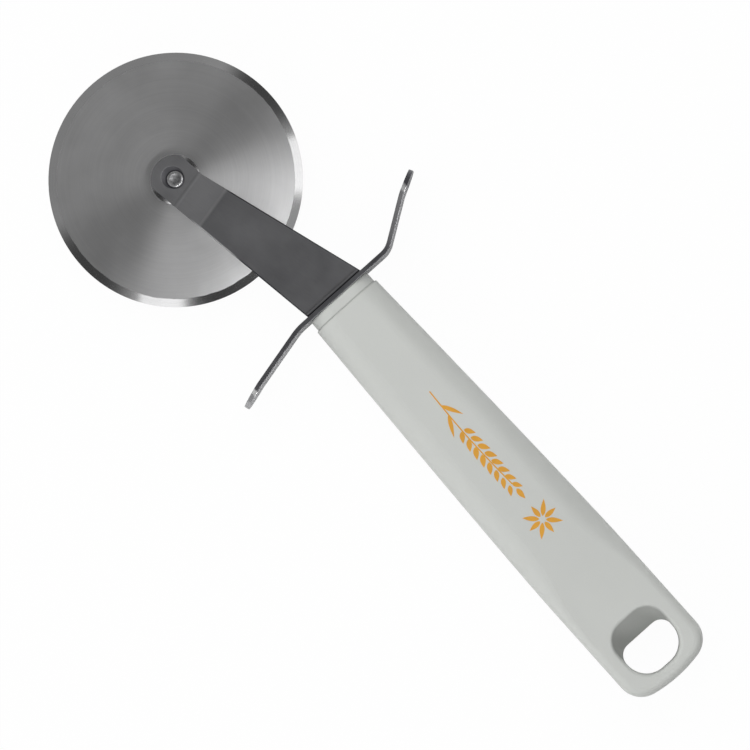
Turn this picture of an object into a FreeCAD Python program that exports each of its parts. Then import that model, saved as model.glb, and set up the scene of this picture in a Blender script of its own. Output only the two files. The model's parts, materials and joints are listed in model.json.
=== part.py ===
"""A pastry cutter wheel: a thin steel disc that rolls on a riveted axle between the arms of a
sheet-metal fork, with a bent finger guard and a moulded plastic handle that hangs by an eye.

It is modelled lying on the back of its handle, in millimetres. +X runs along the handle to its
tail, +Y across it to the thumb-rest side, and +Z up, along the axle. While it is built, X = 0 is
the front of the handle's collar, Y = 0 the handle's centreline and Z = 0 its flat back. At the
end everything moves so that the origin is under the middle of the whole object's box.
"""

import FreeCAD, Part
import os
from math import acos, atan, atan2, cos, hypot, pi, radians, sin, sqrt, tan

V = FreeCAD.Vector
X_AXIS = V(1, 0, 0)
Z_AXIS = V(0, 0, 1)

# Wheel and axle
wheel_diameter = 65.0
wheel_thickness = 1.0
bevel_width = 2.1
edge_thickness = 0.16
wheel_back = 50.2  # from the handle's front to the axle
wheel_drop = 11.0  # from the handle's centreline to the axle
sleeve_radius = 3.0
sleeve_play = 0.1  # how much longer the sleeve is than the wheel is thick, at each face
running_clearance = 0.05
washer_radius = 6.6
washer_thickness = 0.8
rivet_radius = 1.6
rivet_fit = 0.03
rivet_head_radius = 3.6
rivet_head_height = 1.5
rolled_radius = 2.1
rolled_height = 0.5
dish_radius = 1.4
dish_depth = 0.38
recess_radius = 2.38  # sunk into the arm round the rolled end
recess_depth = 0.2
dimple_radius = 3.0
dimple_depth = 0.3
dimple_shift = 0.85  # from the axle, away from the guard

# Fork
sheet = 1.2
fork_angle = 12.1  # between the fork's arms and the handle
head_radius = 6.25
neck_start = 4.9  # from the axle to the arm's narrowest place
neck_up = 5.0  # from the fork's axis to its side there, towards the thumb rest
neck_down = 5.75
root_up = 8.9  # the same two at the guard
root_down = 8.65
shoulder = 2.4  # from the axle to where the head's round end stops, towards the thumb rest
joggle_start = 4.0
joggle_end = 12.3
joggle_bend_radius = 3.0
fork_width = 11.0  # over both arms, beside the guard
fold_radius = 0.75  # at the middle of the sheet
flange_length = 16.0
sheet_edge_round = 0.13

# Finger guard
guard_width = 15.0
wing_start_up = 17.3
wing_angle_up = 34.0
wing_length_up = 14.5
tip_angle_up = 27.5
wing_start_down = 13.2
wing_angle_down = 13.3
wing_length_down = 17.0
tip_angle_down = 17.2
tip_length = 6.8
guard_bend_radius = 6.0
guard_soft_radius = 14.0
tip_round = 5.8

# Tang
tang_width = 8.0
tang_thickness = 3.0
tang_length = 52.0
tenon_radius = 2.5
tenon_fit = 0.03
peened_radius = 3.2
peened_height = 1.2
barb_depth = 0.8
barb_pitch = 5.0
barb_count = 4

# Handle
handle_length = 129.0
handle_thickness = 15.0
skim = 0.01  # cut off the handle's back and face, to leave them truly flat
front_half_width = 10.0
tail_half_width = 12.65
swell_end = 92.0  # where the sides become parallel
swell_power = 1.25
round_change_start = 80.0
round_change_end = 106.0
tail_start = 107.0
grip_round = 6.2
tail_round = 2.5
tail_corner = 6.6
tail_crown_radius = 37.0
front_edge_round = 0.25
collar_length = 3.0
collar_half_width = 9.5
collar_inset = 0.45
collar_edge_round = 0.6
core_half_width = 7.0
core_height = 8.6
core_end = 98.0
core_corner = 2.5
plug_end = 27.0
plug_fit = 0.04
rib_count = 3
rib_depth = 0.5

# Hanging eye
eye_start = 108.9  # its grip-side edge on the handle's faces
ridge_start = 114.7  # the same edge at mid-thickness
eye_end = 125.0
eye_half_width = 7.6
tail_side_corner = 6.3
grip_side_corner = 5.4  # on the handle's faces
ridge_corner = 3.4
ridge_land = 1.0
lip_round = 1.0

middle = handle_thickness / 2
wheel_radius = wheel_diameter / 2
axle = V(-wheel_back, -wheel_drop, middle)
washer_inner = wheel_thickness / 2 + sleeve_play
head_inner = washer_inner + washer_thickness
head_outer = head_inner + sheet
web_front = -2 * sheet  # the guard and then the fork's web lie in front of the handle


def unit(a, b):
    """The direction from point a to point b in a plane."""
    length = hypot(b[0] - a[0], b[1] - a[1])
    return ((b[0] - a[0]) / length, (b[1] - a[1]) / length)


def offset_chain(points, radii, side):
    """Edges that run beside a bent line at a distance of side to its left. radii holds the line's
    own bend radius at each inner point."""
    start = points[0]
    edges = []
    direction = unit(points[0], points[1])
    last = V(start[0] - side * direction[1], start[1] + side * direction[0], 0)
    for i, radius in enumerate(radii, 1):
        point = points[i]
        after = unit(point, points[i + 1])
        cross = direction[0] * after[1] - direction[1] * after[0]
        turn = atan2(cross, direction[0] * after[0] + direction[1] * after[1])
        hand = 1 if turn > 0 else -1
        run = radius * tan(abs(turn) / 2)
        near = (point[0] - run * direction[0], point[1] - run * direction[1])
        centre = (near[0] - hand * radius * direction[1], near[1] + hand * radius * direction[0])
        reach = hand * radius - side
        spoke = (reach * direction[1], -reach * direction[0])
        arc = []
        for share in (0, 0.5, 1):
            c, s = cos(share * turn), sin(share * turn)
            arc.append(V(centre[0] + spoke[0] * c - spoke[1] * s, centre[1] + spoke[0] * s + spoke[1] * c, 0))
        edges.append(Part.makeLine(last, arc[0]))
        edges.append(Part.Arc(*arc).toShape())
        last = arc[2]
        direction = after
    end = points[-1]
    finish = V(end[0] - side * direction[1], end[1] + side * direction[0], 0)
    edges.append(Part.makeLine(last, finish))
    return edges


def bent_strip(points, radii, thickness):
    """The edge-on face of a strip that follows points, with a round bend at each inner point."""
    left = offset_chain(points, radii, thickness / 2)
    right = offset_chain(points, radii, -thickness / 2)
    caps = [
        Part.makeLine(left[0].Vertexes[0].Point, right[0].Vertexes[0].Point),
        Part.makeLine(left[-1].Vertexes[-1].Point, right[-1].Vertexes[-1].Point),
    ]
    return Part.Face(Part.Wire(Part.__sortEdges__(left + right + caps)))


def rounded_bar(x0, x1, half_width, z0, z1, corner):
    """A bar along X with rounded long edges."""
    bar = Part.makeBox(x1 - x0, 2 * half_width, z1 - z0, V(x0, -half_width, z0))
    long_edges = [e for e in bar.Edges if abs(e.tangentAt(e.FirstParameter).x) > 0.99]
    return bar.makeFillet(corner, long_edges)


def turned(profile):
    """A body turned about the axle from (radius, height above mid-thickness) points."""
    points = [axle + V(r, 0, z) for r, z in profile]
    face = Part.Face(Part.makePolygon(points + points[:1]))
    return face.revolve(axle, Z_AXIS, 360)


def ring(inner, outer, z0, z1):
    """A flat ring about the axle, between two heights above mid-thickness."""
    return turned([(inner, z0), (outer, z0), (outer, z1), (inner, z1)])


def cutting_wheel():
    """The disc, ground to an edge from both faces."""
    half = wheel_thickness / 2
    edge = edge_thickness / 2
    land = wheel_radius - bevel_width
    bore = sleeve_radius + running_clearance
    back = [(bore, -half), (land, -half), (wheel_radius, -edge)]
    front = [(wheel_radius, edge), (land, half), (bore, half)]
    return turned(back + front)


def axle_sleeve():
    """The bush that the wheel turns on, clamped between the washers."""
    return ring(rivet_radius + rivet_fit, sleeve_radius, -washer_inner, washer_inner)


def washer(low):
    """A washer between the wheel and one arm, from a height of low above mid-thickness."""
    plain = ring(rivet_radius + rivet_fit, washer_radius, low, low + washer_thickness)
    rims = [e for e in plain.Edges if e.Curve.TypeId == "Part::GeomCircle"]
    rims = [e for e in rims if abs(e.Curve.Radius - washer_radius) < 0.01]
    return plain.makeFillet(washer_thickness / 4, rims)


def cap(radius, height, low, pole):
    """A spherical cap that bulges along the axle from a height of low above mid-thickness, up or
    down as pole is 1 or -1. As a cutter, its bulge makes a shallow dish."""
    ball = (radius**2 + height**2) / (2 * height)
    sphere = Part.makeSphere(ball, V(0, 0, low + pole * (height - ball)))
    slab = Part.makeCylinder(radius, height, V(0, 0, low), V(0, 0, pole))
    return sphere.common(slab)


def axle_rivet():
    """The rivet: a low round head behind, a shank, and an end rolled outwards in front."""
    head = cap(rivet_head_radius, rivet_head_height, -head_outer, -1)
    shank = Part.makeCylinder(rivet_radius, 2 * head_outer, V(0, 0, -head_outer))
    end = Part.makeCylinder(rolled_radius, recess_depth + rolled_height, V(0, 0, head_outer - recess_depth))
    top = head_outer + rolled_height
    rim = [e for e in end.Edges if e.Length > rolled_radius and e.BoundBox.ZMin > top - 0.01]
    end = end.makeFillet(rolled_height * 0.9, rim)
    end = end.cut(cap(dish_radius, dish_depth, top, -1))
    rivet = head.fuse([shank, end]).removeSplitter()
    rivet.translate(axle)
    return rivet


def arm_outline():
    """The plan of an arm along its own axis: a round head, and straight sides that spread from
    the neck to the guard and beyond it."""
    reach = wheel_back / cos(radians(fork_angle))
    far = reach + head_radius
    growth_up = (root_up - neck_up) / (reach - neck_start)
    growth_down = (root_down - neck_down) / (reach - neck_start)
    side = neck_down - growth_down * neck_start
    spread = atan(growth_down)
    bearing = spread + acos(side * cos(spread) / head_radius)
    corners = [
        V(-shoulder, sqrt(head_radius**2 - shoulder**2), 0),
        V(neck_start, neck_up, 0),
        V(far, root_up + growth_up * head_radius, 0),
        V(far, -root_down - growth_down * head_radius, 0),
        V(-head_radius * sin(bearing), -head_radius * cos(bearing), 0),
    ]
    sides = [Part.makeLine(a, b) for a, b in zip(corners, corners[1:])]
    head = Part.Arc(corners[-1], V(-head_radius, 0, 0), corners[0]).toShape()
    return Part.Face(Part.Wire(sides + [head]))


def place_on_fork(shape):
    """Moves a shape from the fork's own axis, with the axle at its origin, into place."""
    shape.rotate(V(0, 0, 0), Z_AXIS, fork_angle)
    shape.translate(axle)
    return shape


def fork():
    """Two joggled arms and the web that joins them, folded from one sheet."""
    across = 4 * root_up
    low = (head_inner + head_outer) / 2
    high = (fork_width - sheet) / 2
    flange = wheel_back - flange_length / 2
    profile = [(-2 * head_radius, low), (joggle_start, low), (joggle_end, high), (flange, high)]
    arm = bent_strip(profile, [joggle_bend_radius] * 2, sheet)
    arm.rotate(V(0, 0, 0), X_AXIS, 90)
    arm = arm.extrude(V(0, -across, 0))
    arm.translate(V(0, across / 2, 0))
    other = arm.mirror(V(0, 0, 0), Z_AXIS)
    arms = [place_on_fork(arm), place_on_fork(other)]
    web = web_front + sheet / 2
    section = [(-flange_length, high), (web, high), (web, -high), (-flange_length, -high)]
    channel = bent_strip(section, [fold_radius] * 2, sheet)
    channel.rotate(V(0, 0, 0), X_AXIS, 90)
    channel = channel.extrude(V(0, -across, 0))
    channel.translate(V(0, across / 2, middle))
    plan = arm_outline().extrude(V(0, 0, 2 * fork_width))
    plan.translate(V(0, 0, -fork_width))
    body = channel.fuse(arms).common(place_on_fork(plan)).removeSplitter()
    body = body.makeFillet(sheet_edge_round, outline_edges(body))
    bore = Part.makeCylinder(rivet_radius + rivet_fit, 2 * fork_width, V(0, 0, -fork_width))
    recess = Part.makeCylinder(recess_radius, recess_depth, V(0, 0, head_outer - recess_depth))
    dimple = cap(dimple_radius, dimple_depth, head_outer, -1)
    dimple.translate(V(-dimple_shift, 0, 0))
    hole = Part.makeCylinder(tenon_radius + tenon_fit, 2 * sheet, V(web_front - sheet / 2, 0, middle), X_AXIS)
    return body.cut([place_on_fork(cutter) for cutter in (bore, recess, dimple)] + [hole])


def outline_edges(body):
    """The edges of the sheet's outer faces along the arms' sides and round their heads."""
    forward = V(cos(radians(fork_angle)), sin(radians(fork_angle)), 0)
    found = []
    for edge in body.Edges:
        height = abs(edge.CenterOfMass.z - middle)
        outside = abs(height - head_outer) < 0.01 or abs(height - fork_width / 2) < 0.01
        round_head = edge.Curve.TypeId == "Part::GeomCircle"
        if outside and (round_head or abs(edge.tangentAt(edge.FirstParameter).dot(forward)) > 0.9):
            found.append(edge)
    return found


def guard_line():
    """The guard's middle line in plan, from the thumb rest's tip to the finger guard's tip."""
    x = -sheet / 2

    def step(start, angle, length, forward, up):
        a = radians(angle)
        return (start[0] + forward * length * sin(a), start[1] + up * length * cos(a))

    up_bend = (x, wing_start_up)
    up_knee = step(up_bend, wing_angle_up, wing_length_up, -1, 1)
    up_tip = step(up_knee, tip_angle_up, tip_length, -1, 1)
    down_bend = (x, -wing_start_down)
    down_knee = step(down_bend, wing_angle_down, wing_length_down, 1, -1)
    down_tip = step(down_knee, tip_angle_down, tip_length, 1, -1)
    return [up_tip, up_knee, up_bend, down_bend, down_knee, down_tip]


def finger_guard():
    """A bent strip between the fork and the handle, with round corners at both tips."""
    radii = [guard_soft_radius, guard_bend_radius, guard_soft_radius, guard_soft_radius]
    strip = bent_strip(guard_line(), radii, sheet).extrude(V(0, 0, guard_width))
    strip.translate(V(0, 0, middle - guard_width / 2))
    corners = [e for e in strip.Edges if abs(e.Length - sheet) < 0.001]
    strip = strip.makeFillet(tip_round, corners)
    long_edges = [e for e in strip.Edges if e.BoundBox.ZLength < 0.01 and e.Length > 10 * sheet]
    strip = strip.makeFillet(sheet_edge_round, long_edges)
    eye = Part.makeCylinder(tenon_radius + tenon_fit, 3 * sheet, V(-2 * sheet, 0, middle), X_AXIS)
    return strip.cut(eye)


def tang():
    """A barbed flat bar in the plug, whose round tenon is peened over the fork's web."""
    corner = V(0, -tang_width / 2, middle - tang_thickness / 2)
    bar = Part.makeBox(tang_length, tang_width, tang_thickness, corner)
    nose = [e for e in bar.Edges if e.BoundBox.XMin > tang_length - 0.01 and e.BoundBox.YLength < 0.01]
    bar = bar.makeChamfer(tang_width / 3, nose)
    for side in (1, -1):
        for i in range(barb_count):
            x = tang_length / 4 + i * barb_pitch
            edge = side * tang_width / 2
            notch = [V(x, edge, 0), V(x + barb_pitch / 2, edge, 0), V(x, edge - side * barb_depth, 0)]
            cut = Part.Face(Part.makePolygon(notch + notch[:1])).extrude(V(0, 0, handle_thickness))
            bar = bar.cut(cut)
    tenon = Part.makeCylinder(tenon_radius, -web_front, V(web_front, 0, middle), X_AXIS)
    peened = cap(peened_radius, peened_height, 0, 1)
    peened.rotate(V(0, 0, 0), V(0, 1, 0), -90)
    peened.translate(V(web_front, 0, middle))
    return bar.fuse([tenon, peened]).removeSplitter()


def front_plug():
    """The plug in the handle's mouth. Its flange shows as the collar behind the guard."""
    top = handle_thickness - collar_inset
    corner = grip_round - collar_inset
    collar = rounded_bar(0, collar_length, collar_half_width, collar_inset, top, corner)
    rim = [e for e in collar.Edges if e.BoundBox.XMax < 0.01]
    collar = collar.makeFillet(collar_edge_round, rim)
    half = core_half_width - plug_fit
    height = core_height / 2 - plug_fit
    insert = rounded_bar(collar_length / 2, plug_end, half, middle - height, middle + height, core_corner)
    groove_pitch = (plug_end - collar_length) / (rib_count + 1)
    for i in range(1, rib_count + 1):
        x = collar_length + i * groove_pitch
        blank = Part.makeBox(groove_pitch / 3, 2 * half, 2 * height, V(x, -half, middle - height))
        bottom = height - rib_depth
        neck = rounded_bar(
            x, x + groove_pitch / 3, half - rib_depth, middle - bottom, middle + bottom, core_corner
        )
        insert = insert.cut(blank.cut(neck))
    corner = V(-sheet, -tang_width / 2, middle - tang_thickness / 2)
    slot = Part.makeBox(2 * plug_end, tang_width, tang_thickness, corner)
    return collar.fuse(insert).cut(slot).removeSplitter()


def half_width(x):
    """Half the grip's width at a distance behind the guard. The sides end up parallel."""
    share = max(0, (swell_end - x) / (swell_end - collar_length))
    return tail_half_width - (tail_half_width - front_half_width) * share**swell_power


def edge_round(x):
    """The radius of the grip's long edges, which tightens towards the eye."""
    share = min(1, max(0, (x - round_change_start) / (round_change_end - round_change_start)))
    return grip_round + (tail_round - grip_round) * (1 - cos(pi * share)) / 2


def grip_section(x):
    """The rounded outline of the grip across its length."""
    h = half_width(x)
    r = edge_round(x)
    k = r * (1 - sqrt(0.5))
    low = -skim
    high = handle_thickness + skim
    points = [V(x, r - h, low), V(x, h - r, low), V(x, h, low + r), V(x, h, high - r)]
    points += [V(x, h - r, high), V(x, r - h, high), V(x, -h, high - r), V(x, -h, low + r)]
    middles = [V(x, h - k, low + k), V(x, h - k, high - k), V(x, k - h, high - k), V(x, k - h, low + k)]
    edges = []
    for i in range(4):
        edges.append(Part.makeLine(points[2 * i], points[2 * i + 1]))
        edges.append(Part.Arc(points[2 * i + 1], middles[i], points[(2 * i + 2) % 8]).toShape())
    return Part.Wire(edges)


def grip():
    """The grip as a smooth body from its mouth to the start of the tail."""
    grip_run = [collar_length + i * (round_change_start - collar_length) / 6 for i in range(7)]
    change = round_change_end - round_change_start
    change_run = [round_change_start + i * change / 6 for i in range(1, 7)]
    sections = [grip_section(x) for x in grip_run + change_run + [tail_start]]
    return Part.makeLoft(sections, True, False)


def tail():
    """The end of the grip, with rounded corners and a slightly convex end."""
    h = tail_half_width
    crown = tail_crown_radius - sqrt(tail_crown_radius**2 - h**2)
    corner_x = handle_length - crown
    plan = [(corner_x, h), (tail_start, h), (tail_start, -h), (corner_x, -h)]
    points = [V(x, y, -skim) for x, y in plan]
    edges = [Part.makeLine(a, b) for a, b in zip(points, points[1:])]
    edges.append(Part.Arc(points[-1], V(handle_length, 0, -skim), points[0]).toShape())
    block = Part.Face(Part.Wire(edges)).extrude(V(0, 0, handle_thickness + 2 * skim))
    tall = [e for e in block.Edges if e.BoundBox.XLength < 0.01 and e.BoundBox.ZLength > tail_corner]
    block = block.makeFillet(tail_corner, [e for e in tall if e.BoundBox.XMin > tail_start + 1])
    rims = [e for e in block.Edges if e.BoundBox.ZLength < 0.01 and e.BoundBox.XMax > tail_start + 1]
    return block.makeFillet(tail_round, rims)


def eye_contour(start, c, z):
    """The eye's outline at one height, with its own grip-side edge and grip-side corners there."""
    end = eye_end
    h = eye_half_width
    d = tail_side_corner
    k = 1 - sqrt(0.5)
    points = [V(start + c, h, z), V(end - d, h, z), V(end, h - d, z), V(end, d - h, z)]
    points += [V(end - d, -h, z), V(start + c, -h, z), V(start, c - h, z), V(start, h - c, z)]
    middles = [V(end - k * d, h - k * d, z), V(end - k * d, k * d - h, z)]
    middles += [V(start + k * c, k * c - h, z), V(start + k * c, h - k * c, z)]
    edges = []
    for i in range(4):
        p, q, r = points[2 * i], points[2 * i + 1], points[(2 * i + 2) % 8]
        edges.append(Part.makeLine(p, q))
        edges.append(Part.Arc(q, middles[i], r).toShape())
    return Part.Wire(edges)


def eye_cutter():
    """The hanging eye's space. Its grip-side wall slopes in from both faces to a low ridge."""
    over = 1.0
    half_land = ridge_land / 2
    depth = middle - half_land
    outer_start = eye_start - over * (ridge_start - eye_start) / depth
    outer_corner = grip_side_corner + over * (grip_side_corner - ridge_corner) / depth
    waist = Part.Face(eye_contour(ridge_start, ridge_corner, depth)).extrude(V(0, 0, ridge_land))
    funnels = []
    for hand in (1, -1):
        inner = eye_contour(ridge_start, ridge_corner, middle + hand * half_land)
        outer = eye_contour(outer_start, outer_corner, middle + hand * (middle + over))
        funnels.append(Part.makeLoft([inner, outer], True, True))
    return waist.fuse(funnels)


def eye_lips(solid):
    """The eye's edges on the handle's two faces."""
    found = []
    for edge in solid.Edges:
        box = edge.BoundBox
        on_face = box.ZLength < 0.01 and abs(abs(box.ZMin - middle) - middle) < 0.01
        along = box.XMin > eye_start - 0.1 and box.XMax < eye_end + 0.1
        if on_face and along and max(box.YMax, -box.YMin) < eye_half_width + 0.1:
            found.append(edge)
    return found


def handle_shell():
    """The moulded handle, hollow from its mouth to short of the hanging eye."""
    solid = grip().fuse(tail())
    for z in (-1, handle_thickness):
        skimmed = Part.makeBox(2 * handle_length, handle_length, 1, V(-1, -handle_length / 2, z))
        solid = solid.cut(skimmed)
    solid = solid.removeSplitter()
    front = [e for e in solid.Edges if e.BoundBox.XMax < collar_length + 0.01]
    solid = solid.makeFillet(front_edge_round, front)
    solid = solid.cut(eye_cutter())
    solid = solid.makeFillet(lip_round, eye_lips(solid))
    half = core_height / 2
    core = rounded_bar(0, core_end, core_half_width, middle - half, middle + half, core_corner)
    return solid.cut(core)


def main():
    """Builds every piece, moves the origin under the middle of the object and writes the files."""
    shapes = {
        "cutting_wheel": cutting_wheel(),
        "axle_rivet": axle_rivet(),
        "axle_sleeve": axle_sleeve(),
        "front_washer": washer(washer_inner),
        "rear_washer": washer(-washer_inner - washer_thickness),
        "fork": fork(),
        "finger_guard": finger_guard(),
        "tang": tang(),
        "front_plug": front_plug(),
        "handle_shell": handle_shell(),
    }
    box = Part.makeCompound(list(shapes.values())).optimalBoundingBox(False)
    shift = V(-(box.XMin + box.XMax) / 2, -(box.YMin + box.YMax) / 2, 0)
    os.makedirs("parts", exist_ok=True)
    for name, shape in shapes.items():
        shape.translate(shift)
        shape.exportStep("parts/" + name + ".step")
        print(name, shape.isValid(), shape.ShapeType, len(shape.Solids), round(shape.Volume, 1))
    print("size", box.XLength, box.YLength, box.ZMin, box.ZMax)
    print("axle", axle + shift)
    print("handle front", shift)


main()
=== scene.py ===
import json
from functools import reduce
from math import cos, pi, radians, sin

import bmesh
import bpy
from mathutils import Matrix, Vector

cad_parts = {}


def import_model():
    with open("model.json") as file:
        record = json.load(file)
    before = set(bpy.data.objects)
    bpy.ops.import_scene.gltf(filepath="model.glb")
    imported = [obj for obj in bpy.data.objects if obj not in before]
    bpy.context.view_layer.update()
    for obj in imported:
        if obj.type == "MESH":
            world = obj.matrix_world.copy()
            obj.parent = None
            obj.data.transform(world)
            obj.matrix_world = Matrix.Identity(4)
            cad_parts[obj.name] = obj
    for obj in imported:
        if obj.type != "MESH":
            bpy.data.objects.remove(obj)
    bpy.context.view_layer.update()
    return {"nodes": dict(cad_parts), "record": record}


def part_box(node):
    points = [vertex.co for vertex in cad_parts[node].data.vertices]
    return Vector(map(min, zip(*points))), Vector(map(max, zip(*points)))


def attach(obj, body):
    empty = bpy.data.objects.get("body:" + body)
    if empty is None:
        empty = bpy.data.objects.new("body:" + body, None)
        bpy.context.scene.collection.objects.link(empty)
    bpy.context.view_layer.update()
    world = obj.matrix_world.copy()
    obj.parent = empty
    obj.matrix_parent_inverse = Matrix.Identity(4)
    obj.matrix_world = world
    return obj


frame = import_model()
MM = 0.001

# Places that everything else is worked out from
wheel_low, wheel_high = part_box("cutting_wheel")
washer_low, washer_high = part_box("front_washer")
shell_low, shell_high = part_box("handle_shell")
AXLE = (wheel_low + wheel_high) / 2
WHEEL_RADIUS = (wheel_high.x - wheel_low.x) / 2
BEVEL_START = WHEEL_RADIUS - 2.1 * MM
WASHER_RADIUS = (washer_high.x - washer_low.x) / 2
GUARD_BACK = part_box("front_plug")[0].x
GUARD_BOTTOM, GUARD_TOP = (corner.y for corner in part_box("finger_guard"))
SHELL_FRONT = shell_low.x
CENTRELINE = (shell_low.y + shell_high.y) / 2
FACE = shell_high.z
MIDDLE = FACE / 2
FORK_ANGLE = radians(12.1)  # between the fork's arms and the handle
FORK_WAY = Vector((cos(FORK_ANGLE), sin(FORK_ANGLE), 0))
FORK_ACROSS = Vector((-sin(FORK_ANGLE), cos(FORK_ANGLE), 0))


# ---------------------------------------------------------------- shader helpers
class Nodes:
    """A node tree, and short ways to add nodes to it."""

    def __init__(self, tree):
        self.tree = tree

    def feed(self, socket, value):
        """Links an input to another node's output, or gives it a plain value."""
        if isinstance(value, bpy.types.NodeSocket):
            self.tree.links.new(value, socket)
        else:
            socket.default_value = value

    def node(self, kind, inputs=(), **settings):
        """Adds a node of a kind, with its inputs by name or number and its other settings."""
        made = self.tree.nodes.new(kind)
        for key, value in settings.items():
            setattr(made, key, value)
        for key, value in dict(inputs).items():
            self.feed(made.inputs[key], value)
        return made

    def math(self, operation, a, b=0.0):
        return self.node("ShaderNodeMath", {0: a, 1: b}, operation=operation).outputs[0]

    def total(self, *terms):
        return reduce(lambda a, b: self.math("ADD", a, b), terms)

    def less(self, a, b):
        return self.math("SUBTRACT", a, b)

    def product(self, *factors):
        return reduce(lambda a, b: self.math("MULTIPLY", a, b), factors)

    def blend(self, share, a, b):
        """A value that goes from a to b as the share goes from 0 to 1."""
        return self.node("ShaderNodeMix", {0: share, 2: a, 3: b}, data_type="FLOAT").outputs[0]

    def blend_colour(self, share, a, b):
        return self.node("ShaderNodeMix", {0: share, 6: a, 7: b}, data_type="RGBA").outputs[2]

    def spread(self, value, low, high, to_low, to_high, smooth=False):
        """Brings low..high on to to_low..to_high, and holds the end values beyond."""
        kind = "SMOOTHSTEP" if smooth else "LINEAR"
        inputs = {"Value": value, 1: low, 2: high, 3: to_low, 4: to_high}
        return self.node("ShaderNodeMapRange", inputs, interpolation_type=kind).outputs[0]

    def above(self, value, low, high, smooth=False):
        """A mask that comes in from low to high."""
        return self.spread(value, low, high, 0, 1, smooth)

    def below(self, value, low, high, smooth=False):
        """A mask that goes out from low to high."""
        return self.spread(value, low, high, 1, 0, smooth)

    def between(self, value, a, b, c, d, smooth=False):
        """A mask that comes in from a to b and goes out from c to d."""
        return self.product(self.above(value, a, b, smooth), self.below(value, c, d, smooth))

    def vector(self, operation, a, b=(0, 0, 0), output="Vector"):
        return self.node("ShaderNodeVectorMath", {0: a, 1: b}, operation=operation).outputs[output]

    def combine(self, x, y, z):
        return self.node("ShaderNodeCombineXYZ", {0: x, 1: y, 2: z}).outputs[0]

    def parts(self, way):
        """A vector's x, y and z."""
        return tuple(self.node("ShaderNodeSeparateXYZ", {0: way}).outputs)

    def along(self, way, direction):
        return self.vector("DOT_PRODUCT", way, tuple(direction), output="Value")

    def length(self, way):
        return self.vector("LENGTH", way, output="Value")

    def unit(self, way):
        return self.vector("NORMALIZE", way)

    def plan(self, way):
        """A vector with its height taken out."""
        return self.vector("MULTIPLY", way, (1, 1, 0))

    def tint(self, value, colour):
        """A colour or a direction scaled by a value."""
        inputs = {0: colour, "Scale": value}
        return self.node("ShaderNodeVectorMath", inputs, operation="SCALE").outputs[0]


class Shader(Nodes):
    """A material with its node tree, and the nodes that only a surface uses."""

    def __init__(self, name):
        self.material = bpy.data.materials.new(name)
        self.material.use_nodes = True
        super().__init__(self.material.node_tree)
        self.surface = self.tree.nodes["Principled BSDF"]

    def place(self):
        return self.node("ShaderNodeTexCoord").outputs["Object"]

    def from_axle(self):
        return self.vector("SUBTRACT", self.place(), tuple(AXLE))

    def normal(self):
        return self.node("ShaderNodeNewGeometry").outputs["Normal"]

    def upright(self):
        """How far a surface faces up or down: 1 for a flat face, 0 for a wall."""
        return self.math("ABSOLUTE", self.parts(self.normal())[2])

    def leaning(self, way, amount):
        """The surface's normal, leaning along a direction."""
        return self.unit(self.vector("ADD", self.normal(), self.tint(amount, way)))

    def noise(self, place, scale, detail=2.0, roughness=0.5):
        """Noise between 0 and 1, with so many lumps to the metre where place is in metres."""
        inputs = {"Vector": place, "Scale": scale, "Detail": detail, "Roughness": roughness}
        return self.node("ShaderNodeTexNoise", inputs).outputs["Fac"]

    def vary(self, noise, low, high, half=0.2):
        """Brings a noise's middle values, within half of 0.5, on to low..high."""
        return self.spread(noise, 0.5 - half, 0.5 + half, low, high)

    def bump(self, height, strength, distance, normal=None):
        inputs = {"Height": height, "Strength": strength, "Distance": distance}
        if normal is not None:
            inputs["Normal"] = normal
        return self.node("ShaderNodeBump", inputs).outputs[0]

    def set(self, **values):
        """Sets the surface's inputs, given with underscores for spaces."""
        for key, value in values.items():
            self.feed(self.surface.inputs[key.replace("_", " ")], value)
        return self.material

    def metal(self, tone, cast, **values):
        """Sets a bare metal surface: a grey tone with a faint cast of colour."""
        colour = self.vector("ADD", self.combine(tone, tone, tone), cast)
        return self.set(Base_Color=colour, Metallic=1.0, **values)


def grey(value):
    return (value, value, value, 1)


# ---------------------------------------------------------------- steel
def wheel_steel():
    """Steel brushed in circles about the axle, with a finer ground bevel round it and painted shade just
    outside the washers. Its normals lean outwards towards the rim, as on a very slightly crowned disc."""
    ring_scale = 3400
    band_scale = 900
    crown = 0.21
    m = Shader("wheel_steel")
    from_axle = m.from_axle()
    radius = m.length(m.plan(from_axle))
    outward = m.unit(m.plan(from_axle))
    wobble = m.product(m.less(m.noise(outward, 9, 4), 0.5), 0.5 * MM)
    bevel = m.above(m.total(radius, wobble), BEVEL_START - 0.05 * MM, BEVEL_START + 0.12 * MM)
    slow = m.vector("MULTIPLY", outward, (0.6, 0.6, 0))
    rings = m.vector("ADD", slow, m.combine(0, 0, m.product(radius, ring_scale)))
    fine = m.noise(rings, 1.0, 3.0, 0.75)
    bands = m.noise(m.combine(m.product(radius, band_scale), 0, 0), 1.0, 2.0)
    smudge = m.noise(from_axle, 95, 3, 0.55)
    tone = m.total(m.vary(fine, -0.022, 0.022), m.vary(smudge, 0.66, 0.73), m.product(bevel, 0.14))
    tone = m.total(tone, m.vary(bands, -0.007, 0.007, 0.15))
    # painted shade on the wheel just outside the washers
    shade_round_washer = m.spread(radius, WASHER_RADIUS - 0.1 * MM, WASHER_RADIUS + 2.4 * MM, 0.9, 1.0)
    share = m.math("POWER", m.math("DIVIDE", radius, WHEEL_RADIUS), 0.7)
    lean = m.product(share, crown, m.below(radius, BEVEL_START - 0.03 * MM, BEVEL_START))
    return m.metal(
        m.product(tone, shade_round_washer), (0, 0, 0.004), Anisotropic=0.77, Anisotropic_Rotation=0.25,
        Roughness=m.blend(bevel, m.vary(smudge, 0.282, 0.305), 0.12),
        Normal=m.bump(fine, 0.06, 0.04 * MM, m.leaning(outward, lean)),
        Tangent=m.node("ShaderNodeTangent", direction_type="RADIAL", axis="Z").outputs[0],
    )


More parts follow.
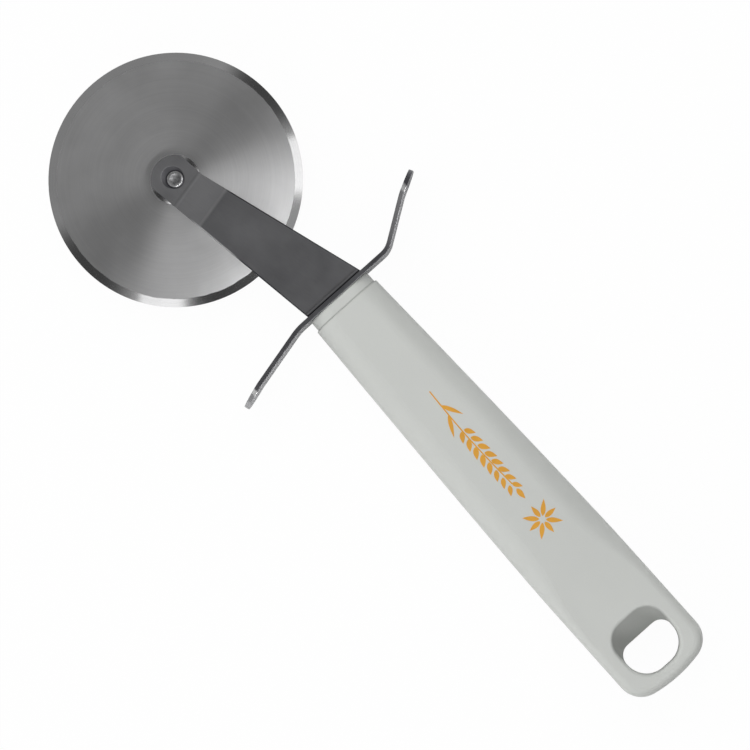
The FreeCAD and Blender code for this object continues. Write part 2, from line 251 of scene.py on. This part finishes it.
def rolled_steel(name, low, high, way, across):
    """Satin rolled sheet between two tones, with a fine grain along one way and light scratches.
    Gives the shader, its tone, the grain and the patches its roughness follows."""
    slant = 0.6
    scratch_length = 4 * MM
    scratch_width = 0.09 * MM
    m = Shader(name)
    place = m.place()
    patches = m.noise(place, 110, 3, 0.55)
    lines = m.combine(m.product(m.along(place, way), 260), m.product(m.along(place, across), 5200), 0)
    grain = m.noise(lines, 1.0, 3.0, 0.7)
    scratch_way = (way + across * slant).normalized()
    scratch_across = (across - way * slant).normalized()
    stretched = m.combine(
        m.product(m.along(place, scratch_way), 1 / scratch_length),
        m.product(m.along(place, scratch_across), 1 / scratch_width), 0,
    )
    scratches = m.above(m.noise(stretched, 1.0, 2.0, 0.6), 0.66, 0.74)
    tone = m.total(m.vary(patches, low, high), m.vary(grain, -0.015, 0.015), m.product(scratches, 0.04))
    return m, tone, grain, patches


# Along the fork's own axis, from the axle
DIMPLE = -0.85 * MM  # the middle of the shallow dimple in its head
VALLEY = 4.3 * MM  # where its arms bend away from the wheel
NECK = 4.9 * MM  # its narrowest place
LOWER_RIM_GLINT_START = 11 * MM  # the start of the painted highlight on its lower rim
CREST = 12.3 * MM  # where its arms bend back
LOWER_RIM_GLINT_END = 24 * MM
ROOT = 50 * MM  # beside the guard
# From that axis to its rims, at the neck and at the root
UPPER_RIM = (5.0 * MM, 8.9 * MM)
LOWER_RIM = (5.75 * MM, 8.65 * MM)
DIMPLE_RADIUS = 3.0 * MM
RECESS_RADIUS = 2.38 * MM  # round the rivet's rolled end
FOLD = GUARD_BACK - 2.1 * MM  # where its arms turn into its web


def on_rim(m, reach, across, rim):
    """A mask of the last third of a millimetre of the fork's faces along one rim."""
    growth = (rim[1] - rim[0]) / (ROOT - NECK)
    line = m.total(m.product(reach, growth), rim[0] - growth * NECK)
    return m.above(m.less(across, line), -0.42 * MM, -0.18 * MM)


def fork_steel():
    """The fork, with painted light and shade: painted paler at its head, painted shade in its dimple, round
    its rivet and along its rims, dark cut edges, and painted highlights at its bends, along part of its
    lower rim and at the fold beside the guard."""
    # the tone of the painted shade along the fork's rims
    fork_rim_shade = 0.06
    m, tone, grain, patches = rolled_steel("fork_steel", 0.275, 0.315, FORK_WAY, FORK_ACROSS)
    from_axle = m.from_axle()
    reach = m.along(from_axle, FORK_WAY)
    across = m.along(from_axle, FORK_ACROSS)
    # painted light: the head and the slope up to the crest are painted paler
    tone = m.product(tone, m.spread(reach, CREST - 0.7 * MM, CREST + 0.7 * MM, 1.3, 1.0, smooth=True))
    # painted highlights along the crest and the valley where the arms bend
    crest = m.between(
        reach, CREST - 0.8 * MM, CREST - 0.1 * MM, CREST, CREST + 0.7 * MM, smooth=True
    )
    valley = m.between(
        reach, VALLEY - 0.6 * MM, VALLEY - 0.1 * MM, VALLEY + 0.1 * MM, VALLEY + 0.6 * MM, smooth=True
    )
    tone = m.total(tone, m.product(crest, 0.16), m.product(valley, 0.055))
    from_dimple = m.length(m.plan(m.vector("SUBTRACT", from_axle, tuple(FORK_WAY * DIMPLE))))
    from_rivet = m.length(m.plan(from_axle))
    tone = m.product(
        tone,
        # painted shade in the dimple
        m.spread(from_dimple, DIMPLE_RADIUS - 0.25 * MM, DIMPLE_RADIUS, 0.46, 1.0),
        # painted shade round the rivet's rolled end
        m.spread(from_rivet, RECESS_RADIUS - 0.03 * MM, RECESS_RADIUS + 0.17 * MM, 0.55, 1.0),
        # painted highlight: 2.6 times brighter from the fold to the guard
        m.spread(m.parts(m.place())[0], FOLD - 0.2 * MM, FOLD + 0.2 * MM, 1.0, 2.6),
    )
    upper_rim = on_rim(m, reach, across, UPPER_RIM)
    lower_rim = on_rim(m, reach, m.product(across, -1), LOWER_RIM)
    past_crest = m.above(reach, CREST - 1.3 * MM, CREST + 1.7 * MM)
    past_lower_rim_glint = m.above(reach, LOWER_RIM_GLINT_END - 2 * MM, LOWER_RIM_GLINT_END + 4 * MM)
    at_lower_rim_glint = m.between(
        reach, LOWER_RIM_GLINT_START - 2 * MM, LOWER_RIM_GLINT_START + 2 * MM, LOWER_RIM_GLINT_END - 2 * MM, LOWER_RIM_GLINT_END + 2 * MM
    )
    # painted shade along both rims
    tone = m.blend(m.product(upper_rim, past_crest), tone, fork_rim_shade)
    tone = m.blend(m.product(lower_rim, past_lower_rim_glint), tone, fork_rim_shade)
    # painted highlight along part of the lower rim
    tone = m.blend(m.product(lower_rim, at_lower_rim_glint), tone, 1.0)
    cut_edge = m.below(m.upright(), 0.6, 0.9)
    return m.metal(
        m.blend(cut_edge, tone, 0.1), (0, 0, 0.012), Roughness=m.vary(patches, 0.29, 0.35),
        Normal=m.bump(grain, 0.12, 0.05 * MM),
    )


# The guard's painted highlight spots and its tips painted in light and shade, from its ends
UPPER_GLINT = 5.55 * MM
UPPER_TIP = 4.05 * MM
LOWER_GLINT = 5 * MM
LOWER_TIP = 3.8 * MM
THUMB_REST = CENTRELINE + 18.5 * MM  # where the upper wing starts


def guard_steel():
    """The guard: its sheared edges are darker than its rolled faces. The upper wing's faces are painted a
    little darker and its edges lighter. The last of each wing, where it falls away from the light, is
    painted: the upper one dark, the lower one pale, after a painted highlight spot."""
    m, tone, grain, patches = rolled_steel(
        "guard_steel", 0.4, 0.46, Vector((0, 1, 0)), Vector((0, 0, 1))
    )
    y = m.parts(m.place())[1]
    from_top = m.less(GUARD_TOP, y)
    from_bottom = m.less(y, GUARD_BOTTOM)
    upper_wing = m.above(y, THUMB_REST - 1.5 * MM, THUMB_REST + 1.5 * MM)
    # painted light: the upper wing's edges are painted lighter
    edge = m.total(m.vary(patches, 0.17, 0.24), m.product(upper_wing, 0.2))
    # painted highlight spots on the edges near both ends, and the lower tip's edges painted pale
    edge = m.blend(m.below(from_bottom, LOWER_GLINT - 0.1 * MM, LOWER_GLINT + 0.1 * MM), edge, 1.0)
    edge = m.blend(m.below(from_bottom, LOWER_TIP - 0.1 * MM, LOWER_TIP + 0.1 * MM), edge, 0.5)
    edge = m.blend(m.below(from_top, UPPER_GLINT - 0.25 * MM, UPPER_GLINT + 0.25 * MM), edge, 1.0)
    # painted shade: the upper wing's faces are painted darker
    tone = m.product(tone, m.spread(upper_wing, 0, 1, 1.0, 0.85))
    tone = m.blend(m.above(m.upright(), 0.35, 0.6), tone, edge)
    # painted shade: the upper tip is painted dark
    tip = m.below(from_top, UPPER_TIP - 0.35 * MM, UPPER_TIP + 0.35 * MM)
    return m.metal(
        m.blend(tip, tone, 0.12), (0, 0, 0.012), Roughness=m.vary(patches, 0.29, 0.38),
        Normal=m.bump(grain, 0.02, 0.05 * MM),
    )


def rivet_steel():
    """Bright steel with the marks of the riveting tool. The dish of its front end is rougher, with painted
    shade in it.
    """
    dish_radius = 1.4 * MM
    m = Shader("rivet_steel")
    place = m.place()
    radius = m.length(m.plan(m.from_axle()))
    behind = m.below(m.parts(place)[2], MIDDLE, MIDDLE + 1 * MM)
    round_dish = m.above(radius, dish_radius - 0.15 * MM, dish_radius + 0.15 * MM)
    bright = m.math("MAXIMUM", behind, round_dish)
    marks = m.noise(place, 1300, 3, 0.6)
    fine = m.noise(place, 5200, 2, 0.6)
    tone = m.total(m.vary(marks, 0.3, 0.56, 0.15), m.vary(fine, -0.03, 0.03))
    return m.metal(
        # painted shade: the dish of the front end is painted darker
        m.product(tone, m.spread(bright, 0, 1, 0.62, 1.15)), (0, 0, 0.005),
        Roughness=m.blend(bright, 0.55, 0.3), Normal=m.bump(marks, 0.5, 0.12 * MM),
    )


def washer_steel():
    """Bright polished washers, with painted shade on their rims. Their normals lean outwards, as on slightly
    dished ones.
    """
    dish = 0.19
    m = Shader("washer_steel")
    flat = m.plan(m.from_axle())
    tone = m.total(m.vary(m.noise(m.place(), 3000, 2, 0.6), -0.03, 0.03), 0.75)
    # painted shade on the washers' rims
    washer_edge_shade = m.spread(m.length(flat), WASHER_RADIUS - 0.4 * MM, WASHER_RADIUS - 0.1 * MM, 1, 0.6)
    return m.metal(
        m.product(tone, washer_edge_shade), (0, 0, 0.005), Roughness=0.13, Normal=m.leaning(m.unit(flat), dish)
    )


def tang_steel():
    """Plain hot-rolled bar with a dull scale."""
    m = Shader("tang_steel")
    scale = m.noise(m.place(), 420, 4, 0.65)
    return m.metal(
        m.vary(scale, 0.3, 0.46), (0.01, 0, 0), Roughness=m.vary(scale, 0.52, 0.36),
        Normal=m.bump(scale, 0.3, 0.08 * MM),
    )


# ---------------------------------------------------------------- plastic and print
PLASTIC = (0.625, 0.64, 0.615)
ORANGE = (0.76, 0.36, 0.03)
EYE_START = GUARD_BACK + 108.9 * MM  # the eye's grip-side edge on the handle's face
EYE_RIDGE = GUARD_BACK + 114.7 * MM  # the same edge at mid-thickness
EYE_HALF_WIDTH = 7.6 * MM


def handle_plastic():
    """Matt light grey moulding: a fine spark-eroded grain, faint flow marks, grip edges rubbed a little
    lighter and smoother, and painted shade in the groove behind the collar and on the eye's walls."""
    m = Shader("handle_plastic")
    place = m.place()
    grain = m.noise(place, 3400, 2, 0.55)
    pores = m.noise(place, 9500, 1, 0.5)
    flow = m.noise(m.vector("MULTIPLY", place, (0.35, 1, 1)), 55, 3, 0.5)
    x, y = m.parts(place)[:2]
    upright = m.upright()
    patchy = m.above(m.noise(place, 210, 3, 0.6), 0.42, 0.62)
    rubbed = m.product(m.between(upright, 0.55, 0.8, 0.8, 0.98), patchy)
    groove = m.between(
        x, SHELL_FRONT - 0.35 * MM, SHELL_FRONT - 0.05 * MM, SHELL_FRONT + 0.05 * MM, SHELL_FRONT + 0.4 * MM
    )
    off_centre = m.math("ABSOLUTE", m.less(y, CENTRELINE))
    in_eye = m.product(
        m.between(x, EYE_START - 0.9 * MM, EYE_START + 0.6 * MM, EYE_RIDGE + 1.3 * MM, EYE_RIDGE + 4.3 * MM),
        m.below(off_centre, EYE_HALF_WIDTH + 0.6 * MM, EYE_HALF_WIDTH + 1.2 * MM),
        m.below(upright, 0.75, 0.95),
    )
    light = m.total(m.vary(flow, 0.972, 1.02), m.vary(grain, -0.016, 0.016, 0.25), m.product(rubbed, 0.02))
    # painted shade in the groove behind the collar and on the eye's walls
    light = m.product(light, m.spread(groove, 0, 1, 1.0, 0.72), m.spread(in_eye, 0, 1, 1.0, 0.78))
    return m.set(
        Base_Color=m.tint(light, PLASTIC), Specular_IOR_Level=0.4,
        Roughness=m.less(m.vary(flow, 0.5, 0.56), m.product(rubbed, 0.08)),
        Normal=m.bump(m.total(grain, m.product(pores, 0.4)), 0.22, 0.06 * MM),
    )


def print_ink():
    """Thin orange print, slightly uneven and worn through in specks."""
    m = Shader("print_ink")
    place = m.place()
    cover = m.noise(place, 2600, 3, 0.65)
    ink = m.tint(m.vary(m.noise(place, 240), 0.94, 1.05), ORANGE)
    worn = m.spread(cover, 0.68, 0.76, 0, 0.45)
    return m.set(
        Base_Color=m.blend_colour(worn, ink, (*PLASTIC, 1)), Specular_IOR_Level=0.4,
        Roughness=m.vary(cover, 0.44, 0.58), Normal=m.bump(cover, 0.12, 0.04 * MM),
    )


looks = {
    "wheel_steel": wheel_steel(),
    "fork_steel": fork_steel(),
    "guard_steel": guard_steel(),
    "rivet_steel": rivet_steel(),
    "washer_steel": washer_steel(),
    "tang_steel": tang_steel(),
    "handle_plastic": handle_plastic(),
    "print_ink": print_ink(),
}
for part in frame["record"]["subparts"]:
    piece = frame["nodes"][part["node"]]
    piece.data.materials.clear()
    piece.data.materials.append(looks[part["material_slot"]])


# ---------------------------------------------------------------- the print on the handle
INK = 0.02 * MM  # how far it stands proud
LAYER_STEP = 0.03  # how much higher each slab stands than the last, as a share of INK
PRINT_RISE = 1.2 * MM  # of the sprig, from the handle's centreline
SPRIG_START = 33.4 * MM  # behind the guard
SPRIG_END = 69.6 * MM
STALK_END = SPRIG_END - 4.8 * MM
STALK_SAG = 0.5 * MM
STALK_WIDTH = 0.34 * MM
STALK_STEPS = 12
EAR_START = SPRIG_START + 13 * MM  # the first and the last pair of grains
EAR_END = SPRIG_END - 5 * MM
GRAIN_PAIRS = 8
FULLEST_PAIR = 2.5  # counted from the first as 0; the pairs grow smaller on both sides of it
GRAIN_TURN = radians(34)
GRAIN_STAGGER = 0.7 * MM  # how far apart a pair's roots lie across the stalk
GRAIN_LENGTH = 3.5 * MM
GRAIN_WIDTH = 1.5 * MM
TIP_GRAIN = (3.4 * MM, 1.4 * MM)  # its length and width
LEAF = (6.2 * MM, 1.1 * MM)
LEAF_TURN = radians(28)
LEAF_ROOTS = ((SPRIG_START + 4.5 * MM, 1), (SPRIG_START + 7.5 * MM, -1))  # and the side each is on
STAR_CENTRE = (76.6 * MM, 0.95 * MM)  # behind the guard, and from the handle's centreline
STAR_LEAVES = 8
STAR_LENGTHS = (3.6 * MM, 4.4 * MM)  # of its leaves in turn
STAR_WIDTH = 1.3 * MM
STAR_OPENING = 0.8 * MM  # from its centre to the leaves


def towards(turn):
    """A direction on the handle's face, turned from the way to its tail."""
    return Vector((cos(turn), sin(turn)))


def on_face(along, across):
    """A place on the handle's face, from the guard and from its centreline."""
    return Vector((GUARD_BACK + along, CENTRELINE + across))


def leaf(root, way, length, width):
    """The outline of a slim leaf from its root, round at the root and pointed at the tip."""
    steps = 9
    side = Vector((-way.y, way.x))
    outline = []
    for hand in (1, -1):
        for i in range(steps):
            share = i / steps
            t = share if hand > 0 else 1 - share
            swell = sin(pi * t**0.75)
            outline.append(root + way * (length * t) + side * (hand * swell * width / 2))
    return outline


def stroke(points, width):
    """The outline of a line of even width through some points."""
    left, right = [], []
    for i, point in enumerate(points):
        before = points[max(i - 1, 0)]
        after = points[min(i + 1, len(points) - 1)]
        way = (after - before).normalized()
        side = Vector((-way.y, way.x)) * (width / 2)
        left.append(point + side)
        right.append(point - side)
    return left + right[::-1]


def printed(name, outlines):
    """A flat print on the handle's face, as thin closed slabs with these outlines. Each is a hair
    higher than the last, so no two share a face where they cross."""
    mesh = bpy.data.meshes.new(name)
    shape = bmesh.new()
    for layer, outline in enumerate(outlines):
        rise = INK * (1 + LAYER_STEP * layer)
        base = [shape.verts.new((p.x, p.y, FACE - INK)) for p in outline]
        top = [shape.verts.new((p.x, p.y, FACE + rise)) for p in outline]
        shape.faces.new(base[::-1])
        shape.faces.new(top)
        for i in range(len(outline)):
            j = (i + 1) % len(outline)
            shape.faces.new((base[i], base[j], top[j], top[i]))
    bmesh.ops.recalc_face_normals(shape, faces=shape.faces)
    bmesh.ops.triangulate(shape, faces=[f for f in shape.faces if len(f.verts) > 4])
    shape.to_mesh(mesh)
    shape.free()
    piece = bpy.data.objects.new(name, mesh)
    bpy.context.collection.objects.link(piece)
    mesh.materials.append(looks["print_ink"])
    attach(piece, "cutter_body")


def wheat_sprig():
    """A plain ear of wheat on its stalk: pairs of grains, one more at the tip, and two leaves."""
    stalk = []
    for i in range(STALK_STEPS + 1):
        share = i / STALK_STEPS
        along = SPRIG_START + (STALK_END - SPRIG_START) * share
        stalk.append(on_face(along, PRINT_RISE - STALK_SAG * sin(pi * share)))
    outlines = [stroke(stalk, STALK_WIDTH)]
    for i in range(GRAIN_PAIRS):
        along = EAR_START + (EAR_END - EAR_START) * i / (GRAIN_PAIRS - 1)
        size = 1 - 0.3 * abs(i - FULLEST_PAIR) / GRAIN_PAIRS
        for hand, drop in ((1, 0), (-1, GRAIN_STAGGER)):
            root = on_face(along, PRINT_RISE - drop)
            outlines.append(leaf(root, towards(hand * GRAIN_TURN), GRAIN_LENGTH * size, GRAIN_WIDTH * size))
    outlines.append(leaf(on_face(SPRIG_END - 3.2 * MM, PRINT_RISE), towards(0), *TIP_GRAIN))
    for along, hand in LEAF_ROOTS:
        outlines.append(leaf(on_face(along, PRINT_RISE - 0.3 * MM), towards(hand * LEAF_TURN), *LEAF))
    printed("print_sprig", outlines)


def leaf_star():
    """A plain star of slim leaves, short and long in turn, round an open middle."""
    outlines = []
    for i in range(STAR_LEAVES):
        way = towards(2 * pi * i / STAR_LEAVES)
        root = on_face(*STAR_CENTRE) + way * STAR_OPENING
        outlines.append(leaf(root, way, STAR_LENGTHS[i % 2], STAR_WIDTH))
    printed("print_star", outlines)


wheat_sprig()
leaf_star()


# ---------------------------------------------------------------- stage, light and camera
VIEW_DISTANCE = 1.6
VIEW_TILT = radians(2.3)  # towards the handle's tail
HANDLE_BEARING = radians(48.2)  # of the handle's axis in the picture, below its right
PICTURE_WIDTH = 190.84 * MM
PICTURE_CENTRE = Vector((GUARD_BACK + 20.8 * MM, CENTRELINE - 6.3 * MM, MIDDLE))
SENSOR_WIDTH = 36  # in millimetres, as a Blender camera takes it
FLAG_CORE = 0.6  # the share of a flag's radius inside which its shade is full
FLAG_RIM = 1.3  # the share of its radius where its shade has gone
# Each flag's bearing, rise and radius in degrees, and the share of light it leaves
FLAGS = ((57, 66.6, 7, 0.12), (-66, 70.5, 9, 0.05), (-147, 67.2, 8, 0.12), (138, 62, 24, 0.76))


def floor():
    """A plain pale floor, a hair below the handle's back, so that no faces coincide. The camera
    sees it as an even white ground, and reflections see the paper itself."""
    bpy.ops.mesh.primitive_plane_add(size=4, location=(0, 0, -0.02 * MM))
    sheet = bpy.context.object
    sheet.name = "floor"
    m = Shader("floor_paper")
    m.set(Base_Color=grey(0.9), Roughness=0.9)
    glow = m.node("ShaderNodeEmission", {"Color": grey(1.0), "Strength": 1.0}).outputs[0]
    share = m.product(m.node("ShaderNodeLightPath").outputs["Is Camera Ray"], 0.97)
    both = m.node("ShaderNodeMixShader", {0: share, 1: m.surface.outputs[0], 2: glow}).outputs[0]
    m.feed(m.tree.nodes["Material Output"].inputs["Surface"], both)
    sheet.data.materials.append(m.material)


def aim(thing, place, target, up):
    """Puts a camera or lamp at a place, looking at a target."""
    back = (place - target).normalized()
    side = up.cross(back).normalized()
    turn = Matrix((side, back.cross(side), back)).transposed()
    thing.matrix_world = Matrix.Translation(place) @ turn.to_4x4()


def camera():
    """A long lens over the tool, a few degrees towards the tail."""
    data = bpy.data.cameras.new("camera")
    eye = bpy.data.objects.new("camera", data)
    bpy.context.collection.objects.link(eye)
    back = Vector((sin(VIEW_TILT), 0, cos(VIEW_TILT)))
    up = Vector((-sin(HANDLE_BEARING), cos(HANDLE_BEARING), 0))
    aim(eye, PICTURE_CENTRE + back * VIEW_DISTANCE, PICTURE_CENTRE, up)
    data.sensor_width = SENSOR_WIDTH
    data.lens = SENSOR_WIDTH * VIEW_DISTANCE / PICTURE_WIDTH
    data.clip_start = 0.01
    bpy.context.scene.camera = eye


def direction(bearing, rise):
    """A direction from its bearing in the picture, anticlockwise from the right, and its height
    above the floor, both in degrees."""
    a = radians(bearing) + HANDLE_BEARING
    e = radians(rise)
    return Vector((cos(a) * cos(e), sin(a) * cos(e), sin(e)))


def softbox(name, way, width, height, power, target=PICTURE_CENTRE, lights="all"):
    """An area lamp a metre from its target. lights may limit it to the diffuse or the glossy part
    of what it reaches, as a reflector card is."""
    data = bpy.data.lights.new(name, "AREA")
    data.shape = "RECTANGLE"
    data.size, data.size_y, data.energy = width, height, power
    lamp = bpy.data.objects.new(name, data)
    bpy.context.collection.objects.link(lamp)
    lamp.visible_diffuse = lights != "glossy"
    lamp.visible_glossy = lights != "diffuse"
    aim(lamp, target + way, target, Vector((0, 0, 1)))


def world():
    """A studio that is dim overhead and paler all round, with dark flags between its cards."""
    made = bpy.data.worlds.new("studio")
    made.use_nodes = True
    m = Nodes(made.node_tree)
    way = m.node("ShaderNodeTexCoord").outputs["Generated"]
    glow = m.spread(m.parts(way)[2], 0.6, 1.0, 0.42, 0.24)
    for bearing, rise, radius, left in FLAGS:
        near = m.along(way, direction(bearing, rise))
        core = cos(radians(radius * FLAG_CORE))
        rim = cos(radians(radius * FLAG_RIM))
        glow = m.product(glow, m.spread(near, rim, core, 1.0, left, smooth=True))
    back = m.tree.nodes["Background"]
    m.feed(back.inputs["Color"], grey(1.0))
    m.feed(back.inputs["Strength"], glow)
    bpy.context.scene.world = made


floor()
camera()
world()
softbox("room", direction(-246, 62), 1.0, 1.0, 5.8, lights="diffuse")
softbox("side", direction(-128, 30), 0.8, 0.6, 3.5, lights="diffuse")
softbox("fan_card", direction(-38, 50), 1.5, 0.16, 6.6, target=AXLE, lights="glossy")
softbox("right_card", direction(17, 69.7), 0.2, 0.17, 0.1, target=AXLE, lights="glossy")
softbox("lower_card", direction(-106, 70.2), 0.16, 0.17, 0.08, target=AXLE, lights="glossy")
bpy.context.scene.view_settings.view_transform = "Standard"
